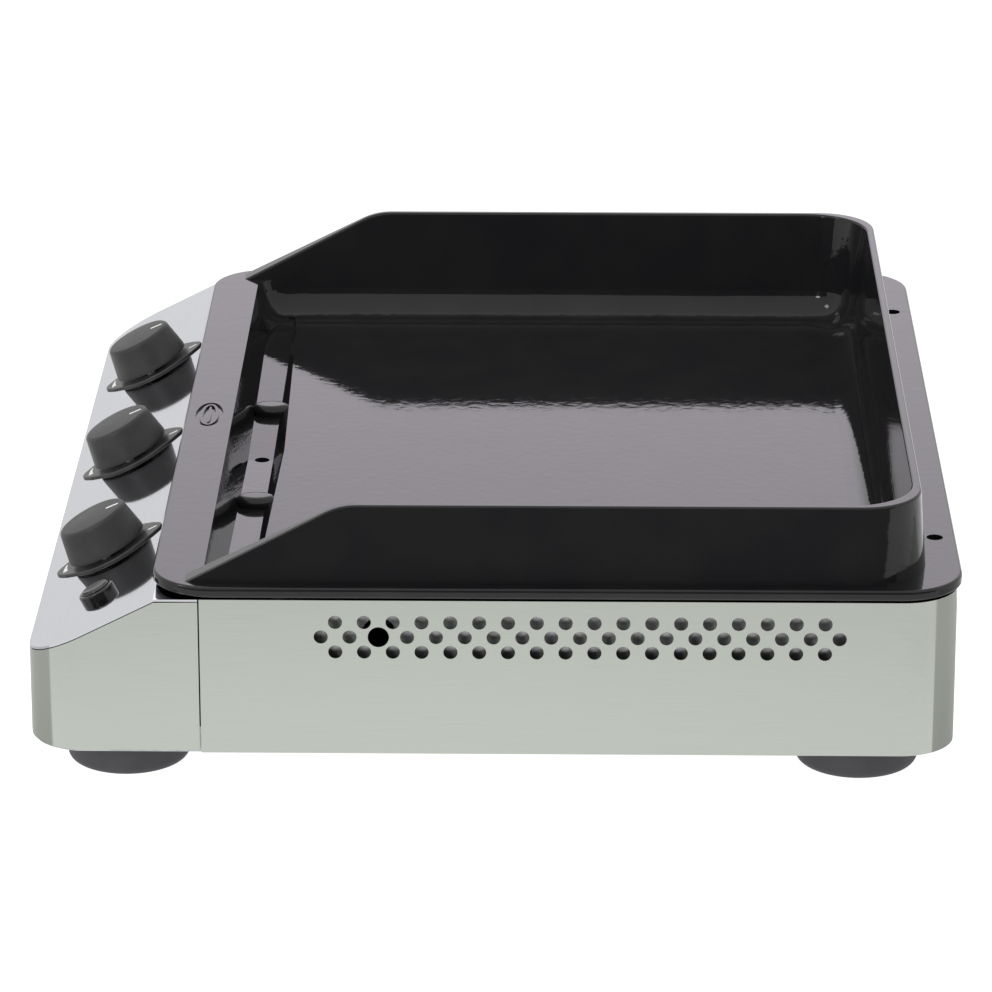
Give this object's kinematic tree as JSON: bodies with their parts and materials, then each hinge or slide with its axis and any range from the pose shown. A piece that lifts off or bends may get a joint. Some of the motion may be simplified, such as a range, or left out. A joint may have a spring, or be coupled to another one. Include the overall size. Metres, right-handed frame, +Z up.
{
  "type": "table-top griddle",
  "caption": "Table-top gas griddle: enamelled cooking plate with a splash wall on three sides, sloped steel control panel with knobs, drip tray and round feet.",
  "frame": {"origin": "on the table under the middle of the outer box", "axes": "+X to the cook's right, +Y to the rear, +Z up; controls face -Y"},
  "size_m": [0.6, 0.526, 0.1675],
  "materials": {
    "black_enamel": "gloss black vitreous enamel on cast iron",
    "panel_steel": "bright polished stainless sheet",
    "sheet_steel": "satin stainless sheet",
    "zinc_steel": "zinc-plated steel",
    "feet_rubber": "matt dark grey rubber",
    "knob_plastic": "fine-textured dark grey plastic",
    "black_trim": "satin black",
    "gloss_black": "gloss black plastic",
    "aluminium_tube": "drawn aluminium tube",
    "brass": "machined brass",
    "valve_metal": "die-cast",
    "burner_steel": "stainless tube",
    "aluminised_sheet": "aluminised sheet",
    "ceramic": "glazed white ceramic",
    "lead_silicone": "silicone sleeve",
    "tray_steel": "folded stainless sheet"
  },
  "bodies": {
    "griddle_body": {"plate_rests": "feet_rubber", "control_panel": "panel_steel", "front_skirt": "sheet_steel", "rear_casing": "sheet_steel", "base_pan": "zinc_steel", "foot_front_left": "feet_rubber", "foot_front_right": "feet_rubber", "foot_rear_left": "feet_rubber", "foot_rear_right": "feet_rubber", "foot_screws": "zinc_steel", "valve_screws": "zinc_steel", "igniter_body": "gloss_black", "igniter_nut": "gloss_black", "gas_manifold": "aluminium_tube", "manifold_clamps": "zinc_steel", "feed_pipe": "aluminium_tube", "gas_inlet": "brass", "inlet_bracket": "zinc_steel", "gas_jets": "brass", "burner_bracket_front": "zinc_steel", "burner_bracket_rear": "zinc_steel", "bracket_screws": "zinc_steel", "heat_shield": "aluminised_sheet", "vent_baffles": "aluminised_sheet", "electrodes": "ceramic", "ignition_leads": "lead_silicone", "tray_runners": "zinc_steel", "bezel_left": "black_trim", "gas_valve_left": "valve_metal", "burner_left": "burner_steel", "bezel_centre": "black_trim", "gas_valve_centre": "valve_metal", "burner_centre": "burner_steel", "bezel_right": "black_trim", "gas_valve_right": "valve_metal", "burner_right": "burner_steel"},
    "cooking_plate": {"griddle_plate": "black_enamel"},
    "tray_drawer": {"drip_tray": "tray_steel", "tray_front": "sheet_steel"},
    "igniter_plunger": {"igniter_button": "gloss_black"},
    "valve_stem_left": {"spindle_left": "brass"},
    "knob_left_body": {"knob_left": "knob_plastic"},
    "valve_stem_centre": {"spindle_centre": "brass"},
    "knob_centre_body": {"knob_centre": "knob_plastic"},
    "valve_stem_right": {"spindle_right": "brass"},
    "knob_right_body": {"knob_right": "knob_plastic"}
  },
  "joints": [
    {"name": "plate_lift", "type": "slide", "parent": "griddle_body", "child": "cooking_plate", "axis": [0, 0, 1], "range_m": [0, 0.08]},
    {"name": "tray_pull", "type": "slide", "parent": "griddle_body", "child": "tray_drawer", "axis": [0, -1, 0], "range_m": [0, 0.15]},
    {"name": "igniter_push", "type": "slide", "parent": "griddle_body", "child": "igniter_plunger", "axis": [0, 0.4521, -0.892], "range_m": [0, 0.004], "stiffness_N_per_m": 900},
    {"name": "knob_turn_left", "type": "hinge", "parent": "griddle_body", "child": "valve_stem_left", "pos_m": [-0.17, -0.22518, 0.09717], "axis": [0, -0.4521, 0.892], "range_deg": [0, 210]},
    {"name": "knob_push_left", "type": "slide", "parent": "valve_stem_left", "child": "knob_left_body", "axis": [0, 0.4521, -0.892], "range_m": [0, 0.0025], "stiffness_N_per_m": 1500},
    {"name": "knob_turn_centre", "type": "hinge", "parent": "griddle_body", "child": "valve_stem_centre", "pos_m": [0, -0.22518, 0.09717], "axis": [0, -0.4521, 0.892], "range_deg": [0, 210]},
    {"name": "knob_push_centre", "type": "slide", "parent": "valve_stem_centre", "child": "knob_centre_body", "axis": [0, 0.4521, -0.892], "range_m": [0, 0.0025], "stiffness_N_per_m": 1500},
    {"name": "knob_turn_right", "type": "hinge", "parent": "griddle_body", "child": "valve_stem_right", "pos_m": [0.17, -0.22518, 0.09717], "axis": [0, -0.4521, 0.892], "range_deg": [0, 210]},
    {"name": "knob_push_right", "type": "slide", "parent": "valve_stem_right", "child": "knob_right_body", "axis": [0, 0.4521, -0.892], "range_m": [0, 0.0025], "stiffness_N_per_m": 1500}
  ]
}
